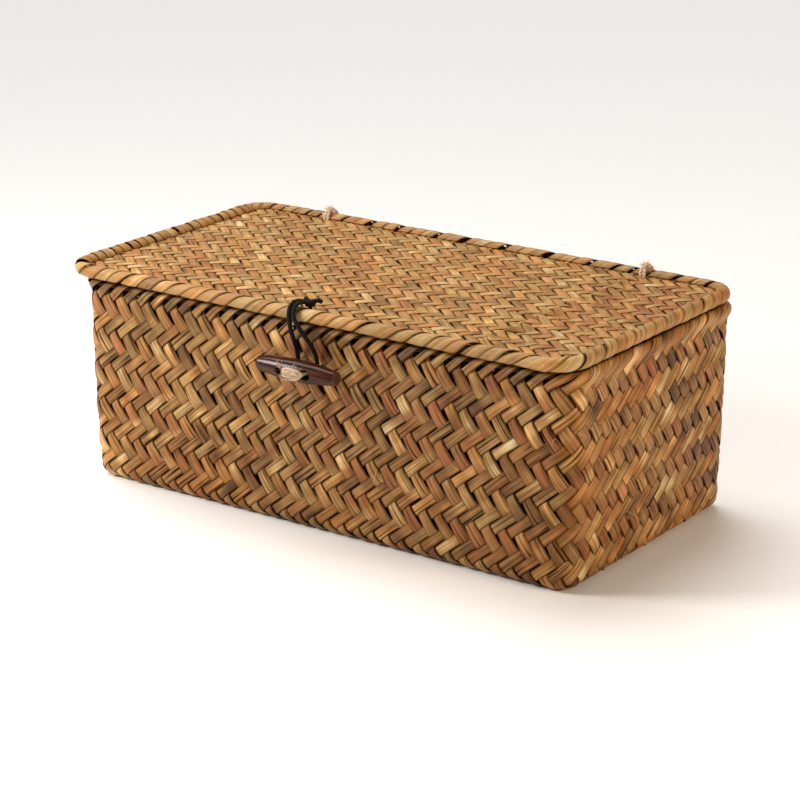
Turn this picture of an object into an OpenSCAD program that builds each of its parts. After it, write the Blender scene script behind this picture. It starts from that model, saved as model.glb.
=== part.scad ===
// Low rectangular storage basket plaited from flat grass strips, with a lid
// that tips back on two twine ties and closes with a toggle and a cord loop.
// X runs along the length, -Y is the front with the toggle, Z is up. The
// origin is the middle of the base, on the surface that the basket stands on.

/* [Basket] */
// Outside length at the top edge
basket_l = 257; // [200:1:340]
// Outside depth at the top edge, front to back
basket_d = 134.2; // [110:0.2:200]
// Height of the rim's top above the surface it stands on
basket_h = 94; // [70:1:150]
// How much narrower each side is at the base than at the top
wall_lean = 1.5; // [0.5:0.1:4]
// Thickness of the plaited wall and base
wall_t = 2.4; // [1.8:0.1:4]
// Radius of the upright corners in plan
corner_r = 11.5; // [8:0.5:20]
// Radius of the rolled edge round the base
base_edge_r = 6; // [4:0.5:10]

/* [Rim] */
// Radius of the binding folded over the wall's top edge
rim_r = 2.6; // [2.2:0.1:4]
// Radius of the cane hoop inside the rim
rim_core_r = 1.1; // [0.8:0.1:1.2]

/* [Lid] */
// Length of the lid along the middle of its rolled edge
lid_l = 258; // [200:1:344]
// Depth of the lid along the middle of its rolled edge
lid_d = 135; // [110:1:204]
// Radius of the lid's rolled edge
lid_edge_r = 3.5; // [3:0.1:5]
// Radius of the cane hoop inside the lid's edge
lid_core_r = 1.2; // [0.8:0.1:1.4]
// Thickness of the plaited lid panel
panel_t = 2.4; // [1.8:0.1:3]
// How far the lid sits to the left of the basket's middle
lid_left = 2.5; // [0:0.1:4]
// How far the lid sits in front of the basket's middle
lid_forward = 2; // [1.5:0.1:3]
// Gap between the lid's edge and the rim when closed
lid_gap = 0.3; // [0.2:0.05:1]

/* [Hinge ties] */
// Distance from the lid's middle to each tie
tie_x = 86; // [50:1:110]
// Thickness of the hinge twine
tie_thick = 1.8; // [1.2:0.1:2]

/* [Toggle] */
// Length of the toggle
toggle_l = 40.6; // [30:0.2:60]
// Diameter of the toggle at its middle
toggle_mid_d = 9.4; // [7:0.2:12]
// Diameter of the toggle's cut ends
toggle_end_d = 6; // [4:0.2:7]
// Height of the toggle's axis
toggle_z = 75.5; // [50:0.5:80]
// Gap between the wall and the back of the toggle
toggle_gap = 4.4; // [4.4:0.1:6]
// Distance between the toggle's two holes
toggle_hole_pitch = 13; // [10:0.5:18]
// Diameter of the toggle's two holes
toggle_hole_d = 4; // [3:0.2:5]

/* [Loop] */
// Thickness of the elastic cord
cord_d = 1.9; // [1.6:0.1:2]

/* [Hidden] */
$fn = 64;

fit = 0.1;                                     // room round pieces bound in the edges
hull_fn = 32;                                  // facets round the shell's blended corners
wall_top = basket_h - 4;                       // wall's edge, inside the binding
straight_h = 10;                               // upright band below the wall's edge
rim_z = basket_h - rim_r;
rim_core_z = rim_z + 0.4;
rim_l = basket_l - wall_t;                     // loops that follow the middle of the wall
rim_d = basket_d - wall_t;
rim_corner_r = corner_r - wall_t / 2;
lid_z = basket_h + lid_gap + lid_edge_r;
lid_corner_r = corner_r + 0.5;
panel_inset = 0.8;                             // panel's edge, in from the middle of the rolled edge
lid_core_out = 0.9;                            // hoop's centre, out from the same line
tie_r = tie_thick / 2;
tie_ring_r = lid_edge_r + tie_r + 0.6;
tie_hole_r = 2.6;
tie_hole_z = rim_z - tie_ring_r - 1.1;         // the ring crosses the wall a little lower as the lid tips back
rim_back_y = rim_d / 2;
wall_front_y = -basket_d / 2;
toggle_y = wall_front_y - toggle_gap - toggle_mid_d / 2;
neck_r = 1;
neck_hole_r = neck_r + 0.1;
// Knot on the lid that the loop comes from
knot_x = -3;
knot_y = -63.5;
knot_r = 2.2;
stop_h = 1.7;                                  // stop knot, pulled flat under the panel
knot_z = lid_z + panel_t / 2 + 2.2;
// Route of the loop's cord: from the knot over the lid's edge, down behind the
// toggle, round its neck and back up
loop_route = [[-5, -65, 101.9], [-5.9, -66.6, 102.4], [-6.3, -68.4, 102.6], [-6.4, -70.4, 102.5],
              [-6.3, -72.4, 101.6], [-6.1, -73.8, 100], [-5.9, -74.3, 97.8], [-5.8, -74.2, 95.4],
              [-5.8, -73.4, 92], [-5.9, -72, 88.5], [-6, -70.4, 85], [-6, -69, 81.5], [-6, -68.4, 78.5],
              [-6, -68.3, 75.5], [-5.9, -68.3, 73], [-5.2, -68.3, 71], [-3.4, -68.3, 69.4], [-1, -68.3, 68.8],
              [1.4, -68.3, 69.4], [3.2, -68.3, 71], [3.9, -68.3, 73], [4, -68.3, 75.5], [3.9, -68.4, 78.5],
              [3.5, -69, 81.5], [2.6, -70.4, 85], [1.2, -72, 88.5], [-0.6, -73.4, 92], [-2.4, -74.2, 95.4],
              [-3.5, -74.3, 97.8], [-3.9, -73.8, 100], [-4.1, -72.4, 101.6], [-4.1, -70.4, 102.5],
              [-3.8, -68.4, 102.6], [-3.2, -66.9, 102.3], [-2.6, -66, 101.9]];
cord_sides = 8;
side_hint = [1, -1, 0];                        // a direction that the cord never runs along

function unit(v) = v / norm(v);
// Direction of a route at one of its points, from the points before and after
function heading(route, i) = unit(route[min(i + 1, len(route) - 1)] - route[max(i - 1, 0)]);
// Ring of points round a route's point, square to its heading
function ring(route, i, r, sides) =
    let (ahead = heading(route, i), across = unit(cross(ahead, side_hint)), up = cross(ahead, across))
    [for (k = [0 : sides - 1]) route[i] + r * (cos(360 * k / sides) * across + sin(360 * k / sides) * up)];

// Tube swept along a route, with flat ends
module swept_cord(route, r, sides) {
    last = len(route) - 1;
    polyhedron(
        points = [for (i = [0 : last]) each ring(route, i, r, sides)],
        faces = concat(
            [[for (k = [sides - 1 : -1 : 0]) k], [for (k = [0 : sides - 1]) last * sides + k]],
            [for (i = [0 : last - 1], k = [0 : sides - 1]) let (a = i * sides + k, b = i * sides + (k + 1) % sides)
                [a, b, b + sides, a + sides]]));
}

// Plan outline with round corners, as an exact shape
module plan(l, d, r) {
    square([l - 2 * r, d], center = true);
    square([l, d - 2 * r], center = true);
    for (sx = [-1, 1], sy = [-1, 1]) translate([sx * (l / 2 - r), sy * (d / 2 - r)]) circle(r);
}

// Round bar bent into a closed loop with round corners
module hoop(l, d, corner, r) {
    for (s = [-1, 1]) {
        translate([-(l / 2 - corner), s * d / 2, 0]) rotate([0, 90, 0]) cylinder(h = l - 2 * corner, r = r);
        translate([s * l / 2, -(d / 2 - corner), 0]) rotate([-90, 0, 0]) cylinder(h = d - 2 * corner, r = r);
    }
    for (sx = [0, 1], sy = [0, 1]) mirror([sx, 0, 0]) mirror([0, sy, 0])
        translate([l / 2 - corner, d / 2 - corner, 0])
            rotate_extrude(angle = 90) translate([corner, 0]) circle(r, $fn = 32);
}

// Box with upright round corners, a rolled bottom edge and sides that lean out
module blended_box(l, d, lean, corner, edge, bottom, top) {
    hull() for (sx = [-1, 1], sy = [-1, 1]) {
        translate([sx * (l / 2 - corner), sy * (d / 2 - corner), top - straight_h])
            cylinder(h = straight_h, r = corner, $fn = hull_fn);
        translate([sx * (l / 2 - lean - corner), sy * (d / 2 - lean - corner), bottom + edge])
            rotate_extrude($fn = hull_fn) intersection() {
                translate([corner - edge, 0]) circle(edge, $fn = hull_fn);
                translate([0, -edge]) square([corner, 2 * edge]);
            }
    }
}

// Walls and base plaited in one piece, open at the top
module woven_shell() {
    color("#a9813f") difference() {
        blended_box(basket_l, basket_d, wall_lean, corner_r, base_edge_r, 0, wall_top);
        blended_box(basket_l - 2 * wall_t, basket_d - 2 * wall_t, wall_lean, corner_r - wall_t,
                    base_edge_r - wall_t, wall_t, wall_top + 1);
        translate([0, wall_front_y - 1, toggle_z]) rotate([-90, 0, 0]) cylinder(h = wall_t + 3, r = neck_hole_r);
        for (s = [-1, 1]) translate([s * tie_x - lid_left, rim_back_y - wall_t, tie_hole_z])
            rotate([-90, 0, 0]) cylinder(h = 2 * wall_t, r = tie_hole_r);
    }
}

// Cane hoop that stiffens the rim
module rim_core() {
    color("#8a6a3a") translate([0, 0, rim_core_z]) hoop(rim_l, rim_d, rim_corner_r, rim_core_r);
}

// Binding folded over the wall's edge and the hoop
module rim_binding() {
    color("#b98f4c") difference() {
        translate([0, 0, rim_z]) hoop(rim_l, rim_d, rim_corner_r, rim_r);
        translate([0, 0, rim_core_z]) hoop(rim_l, rim_d, rim_corner_r, rim_core_r + fit / 2);
        translate([0, 0, rim_z - 2 * rim_r]) linear_extrude(wall_top + fit - rim_z + 2 * rim_r) difference() {
            plan(basket_l + 2 * fit, basket_d + 2 * fit, corner_r + fit);
            plan(basket_l - 2 * wall_t - 2 * fit, basket_d - 2 * wall_t - 2 * fit, corner_r - wall_t - fit);
        }
    }
}

// Places the lid's pieces where the lid lies when closed
module at_lid() {
    translate([-lid_left, -lid_forward, lid_z]) children();
}

// Flat plaited panel, with holes for the two ties and the loop's stem
module lid_panel() {
    color("#b88d48") difference() {
        at_lid() translate([0, 0, -panel_t / 2]) linear_extrude(panel_t)
            plan(lid_l - 2 * panel_inset, lid_d - 2 * panel_inset, lid_corner_r - panel_inset);
        for (s = [-1, 1]) translate([s * tie_x - lid_left, rim_back_y - tie_ring_r, lid_z - panel_t])
            cylinder(h = 2 * panel_t, r = tie_r + 0.4);
        translate([knot_x, knot_y, lid_z - panel_t]) cylinder(h = 2 * panel_t, r = cord_d / 2 + fit);
    }
}

// Cane hoop that stiffens the lid's edge
module lid_core() {
    color("#8a6a3a") at_lid()
        hoop(lid_l + 2 * lid_core_out, lid_d + 2 * lid_core_out, lid_corner_r + lid_core_out, lid_core_r);
}

// Rolled binding round the lid's edge
module lid_binding() {
    color("#b98f4c") at_lid() difference() {
        hoop(lid_l, lid_d, lid_corner_r, lid_edge_r);
        hoop(lid_l + 2 * lid_core_out, lid_d + 2 * lid_core_out, lid_corner_r + lid_core_out,
             lid_core_r + fit / 2);
        translate([0, 0, -panel_t / 2 - fit / 2]) linear_extrude(panel_t + fit)
            plan(lid_l - 2 * panel_inset + fit, lid_d - 2 * panel_inset + fit, lid_corner_r - panel_inset);
    }
}

// Ring of twine round the rim and the lid's edge, with its knot on top
module hinge_tie() {
    rise = lid_z - rim_z;
    translate([0, rim_back_y, rim_z]) rotate([0, -90, 0]) {
        rotate([0, 0, 90]) rotate_extrude(angle = 180) translate([tie_ring_r, 0]) circle(tie_r, $fn = 24);
        for (s = [-1, 1]) translate([0, s * tie_ring_r, 0]) rotate([0, 90, 0])
            cylinder(h = rise, r = tie_r, $fn = 24);
        translate([rise, 0, 0]) rotate([0, 0, -90])
            rotate_extrude(angle = 180) translate([tie_ring_r, 0]) circle(tie_r, $fn = 24);
        translate([rise + tie_ring_r + 0.6, 0, 0]) sphere(2.1, $fn = 32);
    }
}

module hinge_tie_left() {
    color("#d9c49a") translate([-tie_x - lid_left, 0, 0]) hinge_tie();
}

module hinge_tie_right() {
    color("#d9c49a") translate([tie_x - lid_left, 0, 0]) hinge_tie();
}

// Knot of the loop's cord on the lid, with its stem and the stop knot below
module loop_knot() {
    stop_z = lid_z - panel_t / 2 - stop_h - fit;
    color("#1a1816") translate([knot_x, knot_y, 0]) {
        translate([0, 0, knot_z]) sphere(knot_r, $fn = 32);
        translate([0, 0, stop_z]) cylinder(h = knot_z - stop_z, d = cord_d);
        translate([0, 0, stop_z]) cylinder(h = stop_h, r = knot_r);
    }
}

// Barrel with cut ends and two cross holes
module toggle() {
    half = toggle_l / 2;
    bulge = (toggle_mid_d - toggle_end_d) / 2;
    color("#2c1813") translate([0, toggle_y, toggle_z]) difference() {
        rotate([0, 90, 0]) rotate_extrude() polygon(concat(
            [[0, -half]],
            [for (t = [-1 : 0.2 : 1.001]) [toggle_end_d / 2 + bulge * (1 - t * t), t * half]],
            [[0, half]]));
        for (s = [-1, 1]) translate([s * toggle_hole_pitch / 2, -toggle_mid_d, 0]) rotate([-90, 0, 0])
            cylinder(h = 2 * toggle_mid_d, d = toggle_hole_d);
    }
}

// Twine through the toggle's holes, its neck through the wall and its knot
module toggle_twine() {
    front_r = 1.6;
    knot_out = 3;                              // inner knot's middle, in from the wall
    front_y = -toggle_mid_d / 2 - front_r - fit;
    back_y = toggle_mid_d / 2 + neck_r + fit;
    inner_y = wall_front_y + wall_t - toggle_y;
    color("#d8c3a5") translate([0, toggle_y, toggle_z]) {
        for (s = [-1, 1]) translate([s * toggle_hole_pitch / 2, 0, 0]) {
            translate([0, front_y, 0]) rotate([-90, 0, 0]) cylinder(h = back_y - front_y, r = neck_r);
            translate([0, front_y, 0]) sphere(front_r, $fn = 32);
            translate([0, back_y, 0]) sphere(neck_r, $fn = 32);
        }
        translate([-toggle_hole_pitch / 2, front_y, 0]) rotate([0, 90, 0])
            cylinder(h = toggle_hole_pitch, r = front_r);
        translate([-toggle_hole_pitch / 2, back_y, 0]) rotate([0, 90, 0])
            cylinder(h = toggle_hole_pitch, r = neck_r);
        translate([0, back_y, 0]) rotate([-90, 0, 0]) cylinder(h = inner_y + knot_out - back_y, r = neck_r);
        translate([0, inner_y + knot_out, 0]) sphere(2.6, $fn = 32);
    }
}

// Elastic cord that hooks behind the toggle
module loop_cord() {
    color("#1a1816") swept_cord(loop_route, cord_d / 2, cord_sides);
}

woven_shell();
rim_core();
rim_binding();
lid_panel();
lid_core();
lid_binding();
hinge_tie_left();
hinge_tie_right();
loop_knot();
toggle();
toggle_twine();
loop_cord();
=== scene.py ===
import bpy
import numpy as np
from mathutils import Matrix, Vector


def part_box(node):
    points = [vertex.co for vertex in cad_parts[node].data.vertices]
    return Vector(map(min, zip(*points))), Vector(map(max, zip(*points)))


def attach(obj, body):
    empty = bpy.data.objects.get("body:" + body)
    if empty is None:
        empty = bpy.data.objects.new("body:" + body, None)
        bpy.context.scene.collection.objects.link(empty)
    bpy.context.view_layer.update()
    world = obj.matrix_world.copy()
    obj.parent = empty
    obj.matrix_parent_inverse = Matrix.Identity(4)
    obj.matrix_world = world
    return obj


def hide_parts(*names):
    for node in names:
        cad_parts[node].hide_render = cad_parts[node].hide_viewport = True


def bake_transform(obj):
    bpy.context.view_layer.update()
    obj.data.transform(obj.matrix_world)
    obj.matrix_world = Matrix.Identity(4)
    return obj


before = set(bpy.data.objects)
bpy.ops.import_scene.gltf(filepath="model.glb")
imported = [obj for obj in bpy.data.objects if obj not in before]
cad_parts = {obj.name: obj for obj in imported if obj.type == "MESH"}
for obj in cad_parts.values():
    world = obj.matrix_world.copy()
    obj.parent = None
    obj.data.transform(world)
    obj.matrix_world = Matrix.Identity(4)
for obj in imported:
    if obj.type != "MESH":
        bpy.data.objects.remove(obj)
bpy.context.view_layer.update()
scene = bpy.context.scene
pi = np.pi
mm = 0.001  # shapes are worked out in millimetres and stored in metres


# 0 before low, 1 after high, easing in between
def ease(value, low, high):
    t = np.clip((value - low) / (high - low), 0, 1)
    return t * t * (3 - 2 * t)


# Mean of a few sine waves of the given lengths, with a random phase for each strand: (strands, rows)
def ripple(rng, count, along, lengths):
    phase = rng.uniform(0, 2 * pi, (count, len(lengths), 1))
    waves = [np.sin(2 * pi * along / length + phase[:, i]) for i, length in enumerate(lengths)]
    return sum(waves) / len(waves)


def unit(v):
    return v / np.linalg.norm(v, axis=-1, keepdims=True)


# Catmull-Rom curve through the listed points, with the given number of steps between two of them
def smoothPath(points, steps):
    p = np.asarray(points, float)
    p = np.vstack([2 * p[0] - p[1], p, 2 * p[-1] - p[-2]])
    t = (np.arange(steps) / steps)[None, :, None]
    a, b, c, d = (p[i:len(p) - 3 + i, None] for i in range(4))
    bend, twist = 2 * a - 5 * b + 4 * c - d, 3 * b - a - 3 * c + d
    curve = 0.5 * (2 * b + (c - a) * t + bend * t**2 + twist * t**3)
    return np.vstack([curve.reshape(-1, 3), p[-2:-1]])


# Two directions square to a path at each of its points; hint is a direction it never runs along
def pathFrame(path, hint):
    ahead = unit(np.gradient(path, axis=-2))
    across = unit(np.cross(ahead, np.asarray(hint, float)))
    return across, np.cross(ahead, across)


# Tube round a path: a circle of the given radius in the plane square to it, row by row
def tubePoints(path, radius, sides, hint):
    across, up = pathFrame(path, hint)
    turn = np.linspace(0, 2 * pi, sides, endpoint=False)
    radius = np.broadcast_to(np.asarray(radius, float), path.shape[:-1])[..., None, None]
    ringPoints = np.cos(turn)[:, None] * across[..., None, :] + np.sin(turn)[:, None] * up[..., None, :]
    return path[..., None, :] + radius * ringPoints


# Length along a path at each of its points
def pathLength(path):
    steps = np.linalg.norm(np.diff(path, axis=-2), axis=-1)
    return np.concatenate([np.zeros(steps.shape[:-1] + (1,)), np.cumsum(steps, -1)], -1)


# Closed tubes from points of shape (tubes, rows, ring, 3): quads join neighbouring rings and
# one flat face closes each end. Tubes are shared out over pieces of under maxTriangles each.
def makePieces(name, points, material, uv=None, marks=None, maxTriangles=190000):
    tubes, rows, ring = points.shape[:3]
    perTube = 2 * ring * (rows - 1) + 2 * (ring - 2)
    parts = int(np.ceil(tubes * perTube / maxTriangles))
    made = []
    for part, chosen in enumerate(np.array_split(np.arange(tubes), parts)):
        title = name if parts == 1 else f"{name}{part + 1}"
        partUv = None if uv is None else uv[chosen]
        partMarks = {key: np.broadcast_to(value, points.shape[:3])[chosen]
                     for key, value in (marks or {}).items()}
        made.append(makePiece(title, points[chosen], material, partUv, partMarks))
    return made


def makePiece(name, points, material, uv, marks):
    tubes, rows, ring = points.shape[:3]
    index = np.arange(tubes * rows * ring).reshape(tubes, rows, ring)
    near, far = index[:, :-1], index[:, 1:]
    quads = np.stack([near, np.roll(near, -1, 2), np.roll(far, -1, 2), far], -1).reshape(-1, 4)
    caps = np.concatenate([index[:, 0, ::-1], index[:, -1]])
    # the signed volume says whether the faces look outwards
    local = (points - points.mean((1, 2), keepdims=True)).reshape(-1, 3)
    a, b, c, d = (local[quads[:, i]] for i in range(4))
    volume = np.einsum("ij,ij->", a, np.cross(b, c)) + np.einsum("ij,ij->", a, np.cross(c, d))
    if volume < 0:
        quads, caps = quads[:, ::-1], caps[:, ::-1]
    loops = np.concatenate([quads.ravel(), caps.ravel()])
    starts = np.concatenate([np.arange(len(quads)) * 4, quads.size + np.arange(len(caps)) * ring])
    totals = np.concatenate([np.full(len(quads), 4), np.full(len(caps), ring)])
    mesh = bpy.data.meshes.new(name)
    mesh.vertices.add(index.size)
    mesh.vertices.foreach_set("co", (points.reshape(-1) * mm).astype(np.float32))
    mesh.loops.add(len(loops))
    mesh.loops.foreach_set("vertex_index", loops.astype(np.int32))
    mesh.polygons.add(len(starts))
    mesh.polygons.foreach_set("loop_start", starts.astype(np.int32))
    mesh.polygons.foreach_set("loop_total", totals.astype(np.int32))
    mesh.polygons.foreach_set("use_smooth", np.ones(len(starts), bool))
    mesh.update(calc_edges=True)
    if uv is not None:
        layer = mesh.uv_layers.new(name="UVMap")
        layer.data.foreach_set("uv", uv.reshape(-1, 2)[loops].astype(np.float32).ravel())
    for key, value in marks.items():
        mark = mesh.attributes.new(key, "FLOAT", "POINT")
        mark.data.foreach_set("value", value.astype(np.float32).ravel())
    mesh.materials.append(material)
    piece = bpy.data.objects.new(name, mesh)
    scene.collection.objects.link(piece)
    return piece


# UV of a tube in metres: along its path, then round it
def tubeUv(path, radius, sides):
    along = pathLength(path)[..., None] * mm
    around = np.arange(sides) / sides * 2 * pi * radius * mm
    return np.stack(np.broadcast_arrays(along, around), -1)


def rideAll(pieces, body, *nodes):
    for piece in pieces:
        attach(piece, body)
        if nodes:
            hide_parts(*nodes)


# shader helpers

def newMaterial(name):
    material = bpy.data.materials.new(name)
    material.use_nodes = True
    tree = material.node_tree
    return material, tree, tree.nodes["Principled BSDF"]


def addNode(tree, kind, inputs=None, **settings):
    node = tree.nodes.new(kind)
    for key, value in settings.items():
        setattr(node, key, value)
    for key, value in (inputs or {}).items():
        if isinstance(value, bpy.types.NodeSocket):
            tree.links.new(value, node.inputs[key])
        else:
            node.inputs[key].default_value = value
    return node


def mathNode(tree, operation, a, b=0.0, c=0.0):
    return addNode(tree, "ShaderNodeMath", {0: a, 1: b, 2: c}, operation=operation).outputs[0]


# Evenly from one range to another, and no further
def rangeNode(tree, value, fromLow, fromHigh, toLow=0.0, toHigh=1.0):
    return addNode(tree, "ShaderNodeMapRange", {"Value": value, "From Min": fromLow, "From Max": fromHigh,
                                                "To Min": toLow, "To Max": toHigh}).outputs[0]


# Noise stretched by a scale in cycles per metre along each axis of the given coordinates
def stretchedNoise(tree, coordinates, scale, detail=2.0, roughness=0.5):
    mapped = addNode(tree, "ShaderNodeMapping", {"Vector": coordinates, "Scale": scale}).outputs[0]
    return addNode(tree, "ShaderNodeTexNoise", {"Vector": mapped, "Scale": 1.0, "Detail": detail,
                                                "Roughness": roughness}).outputs["Fac"]


def mixColour(tree, mode, share, a, b):
    node = addNode(tree, "ShaderNodeMix", data_type="RGBA", blend_type=mode)
    for socket, value in ((node.inputs[0], share), (node.inputs[6], a), (node.inputs[7], b)):
        if isinstance(value, bpy.types.NodeSocket):
            tree.links.new(value, socket)
        else:
            socket.default_value = value
    return node.outputs[2]


def colourRamp(tree, value, stops):
    ramp = addNode(tree, "ShaderNodeValToRGB", {"Fac": value})
    elements = ramp.color_ramp.elements
    while len(elements) < len(stops):
        elements.new(0.5)
    for element, (place, colour) in zip(elements, stops):
        element.position = place
        element.color = (*colour, 1)
    return ramp.outputs["Color"]


# Joins a colour and a relief, depth in mm, to the shader, and sets its plain values
def joinShader(tree, shader, colour, relief, strength, depth, settings):
    tree.links.new(colour, shader.inputs["Base Color"])
    bump = addNode(tree, "ShaderNodeBump", {"Height": relief, "Strength": strength, "Distance": depth * mm})
    tree.links.new(bump.outputs[0], shader.inputs["Normal"])
    for key, value in settings.items():
        shader.inputs[key].default_value = value


# camera, floor and light

def turnTowards(place, aim):
    return (Vector(aim) - Vector(place)).to_track_quat("-Z", "Y").to_euler()


camera = {"place": (0.6291, -0.8917, 0.4034), "aim": (0.0, -0.0029, 0.0428), "lens": 117.0}

view = bpy.data.objects.new("camera", bpy.data.cameras.new("camera"))
scene.collection.objects.link(view)
view.location = camera["place"]
view.rotation_euler = turnTowards(view.location, camera["aim"])
view.data.lens = camera["lens"]
view.data.clip_end = 50
scene.camera = view

studio = {
    "floorHalf": 6.0, "floorColour": (0.84, 0.83, 0.81), "floorRoughness": 0.9,
    "world": (0.95, 0.97, 1.0), "worldStrength": 0.26, "lampAim": (0.0, 0.0, 0.05),
    # name: place, size of the panel in metres, watts, colour
    "lamps": {
        "keyLight": ((-0.42, -0.38, 0.36), 0.20, 3.9, (1.0, 0.96, 0.91)),
        "sideLight": ((1.10, -0.05, 0.50), 0.4, 7.2, (1.0, 0.72, 0.45)),
    },
    # even light from above: from this direction, spread in degrees, strength
    "skylight": ((-0.50, 0.25, 1.0), 45, 2.5),
}


def makeStudio():
    half = studio["floorHalf"]
    mesh = bpy.data.meshes.new("floor")
    corners = [(-half, -half, 0), (half, -half, 0), (half, half, 0), (-half, half, 0)]
    mesh.from_pydata(corners, [], [(0, 1, 2, 3)])
    floor = bpy.data.objects.new("floor", mesh)
    scene.collection.objects.link(floor)
    material, tree, shader = newMaterial("floorPaper")
    shader.inputs["Base Color"].default_value = (*studio["floorColour"], 1)
    shader.inputs["Roughness"].default_value = studio["floorRoughness"]
    mesh.materials.append(material)
    world = bpy.data.worlds.new("studioWorld")
    scene.world = world
    world.use_nodes = True
    background = world.node_tree.nodes["Background"]
    background.inputs["Color"].default_value = (*studio["world"], 1)
    background.inputs["Strength"].default_value = studio["worldStrength"]
    for name, (place, size, watts, colour) in studio["lamps"].items():
        lamp = bpy.data.objects.new(name, bpy.data.lights.new(name, "AREA"))
        scene.collection.objects.link(lamp)
        lamp.location = place
        lamp.rotation_euler = turnTowards(lamp.location, studio["lampAim"])
        lamp.data.size = size
        lamp.data.energy = watts
        lamp.data.color = colour
    towards, spread, strength = studio["skylight"]
    skylight = bpy.data.objects.new("skylight", bpy.data.lights.new("skylight", "SUN"))
    scene.collection.objects.link(skylight)
    skylight.rotation_euler = Vector(towards).to_track_quat("Z", "Y").to_euler()
    skylight.data.angle = np.radians(spread)
    skylight.data.energy = strength
    scene.view_settings.view_transform = "Standard"


makeStudio()
print("camera, floor and light ready")


# elastic loop and its knot

elastic = {"colour": (0.004, 0.004, 0.004), "highlight": (0.016, 0.015, 0.014), "braidPitch": 1.4}


# Braided elastic: two sets of diagonal ribs round the cord, from the cord's own UV
def makeElastic():
    material, tree, shader = newMaterial("braidedElastic")
    uv = addNode(tree, "ShaderNodeUVMap", uv_map="UVMap").outputs[0]
    parts = addNode(tree, "ShaderNodeSeparateXYZ", {0: uv})
    waves = []
    for way in (1, -1):
        slant = mathNode(tree, "MULTIPLY_ADD", parts.outputs[1], way * 1.3, parts.outputs[0])
        phase = mathNode(tree, "MULTIPLY", slant, 2 * pi / (elastic["braidPitch"] * mm))
        waves.append(mathNode(tree, "SINE", phase))
    ribs = mathNode(tree, "MAXIMUM", waves[0], waves[1])
    share = mathNode(tree, "MULTIPLY_ADD", ribs, 0.5, 0.5)
    colour = mixColour(tree, "MIX", share, (*elastic["colour"], 1), (*elastic["highlight"], 1))
    joinShader(tree, shader, colour, ribs, 0.6, 0.1, {"Roughness": 0.7, "Specular IOR Level": 0.08})
    return material


braidedElastic = makeElastic()

loop = {
    # thickness in mm, whole length in metres
    "diameter": 1.9, "length": 0.0913, "sides": 12, "knotSides": 10, "steps": 5,
    # from the knot over the lid's edge, down behind the toggle, round its neck and back up, in mm
    "route": [(-5, -65, 101.9), (-5.9, -66.6, 102.4), (-6.3, -68.4, 102.6), (-6.4, -70.4, 102.5),
              (-6.3, -72.4, 101.6), (-6.1, -73.8, 100), (-5.9, -74.3, 97.8), (-5.8, -74.2, 95.4),
              (-5.8, -73.4, 92), (-5.9, -72, 88.5), (-6, -70.4, 85), (-6, -69, 81.5), (-6, -68.4, 78.5),
              (-6, -68.3, 75.5), (-5.9, -68.3, 73), (-5.2, -68.3, 71), (-3.4, -68.3, 69.4),
              (-1, -68.3, 68.8), (1.4, -68.3, 69.4), (3.2, -68.3, 71), (3.9, -68.3, 73),
              (4, -68.3, 75.5), (3.9, -68.4, 78.5),
              (3.5, -69, 81.5), (2.6, -70.4, 85), (1.2, -72, 88.5), (-0.6, -73.4, 92), (-2.4, -74.2, 95.4),
              (-3.5, -74.3, 97.8), (-3.9, -73.8, 100), (-4.1, -72.4, 101.6), (-4.1, -70.4, 102.5),
              (-3.8, -68.4, 102.6), (-3.2, -66.9, 102.3), (-2.6, -66, 101.9)],
}


# Tube of the cord's radius along the smoothed route
def makeLoop():
    path = smoothPath(loop["route"], loop["steps"])
    points = tubePoints(path, loop["diameter"] / 2, loop["sides"], (1, -1, 0))
    uv = tubeUv(path, loop["diameter"] / 2, loop["sides"])
    piece, = makePieces("loopCord", points[None], braidedElastic, uv[None])
    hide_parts("loop_cord")
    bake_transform(piece)
    print("loop cord", round(float(pathLength(path)[-1]), 2), "mm")


makeLoop()


# dry grass

# Each finish: colours from the darkest to the palest strand, the rust stain's two colours, how dark the
# painted shade in the hollows and along the strip edges is, and how strong the streaks
grassFinishes = {
    "plaitedGrass": {
        "dark": (0.070, 0.026, 0.006), "mid": (0.240, 0.108, 0.029), "light": (0.440, 0.232, 0.075),
        "pale": (0.780, 0.560, 0.310), "rust": (0.400, 0.140, 0.040), "deepRust": (0.120, 0.030, 0.008),
        "hollowShade": 0.04, "outline": 0.97, "streak": 1.0,
    },
    "lidGrass": {
        "dark": (0.110, 0.044, 0.011), "mid": (0.350, 0.168, 0.047), "light": (0.540, 0.300, 0.103),
        "pale": (0.800, 0.570, 0.300), "rust": (0.440, 0.165, 0.045), "deepRust": (0.180, 0.055, 0.014),
        "hollowShade": 0.06, "outline": 0.86, "streak": 0.75,
    },
    "edgeGrass": {
        "dark": (0.110, 0.046, 0.012), "mid": (0.330, 0.165, 0.050), "light": (0.490, 0.280, 0.100),
        "pale": (0.740, 0.530, 0.280), "rust": (0.390, 0.155, 0.045), "deepRust": (0.200, 0.070, 0.018),
        "hollowShade": 0.20, "outline": 0.90, "streak": 0.8,
    },
}

# Tints that a strand's colour is multiplied by
grassLean = {"khaki": (0.88, 1.0, 1.0), "orange": (1.0, 0.84, 0.62)}
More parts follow.
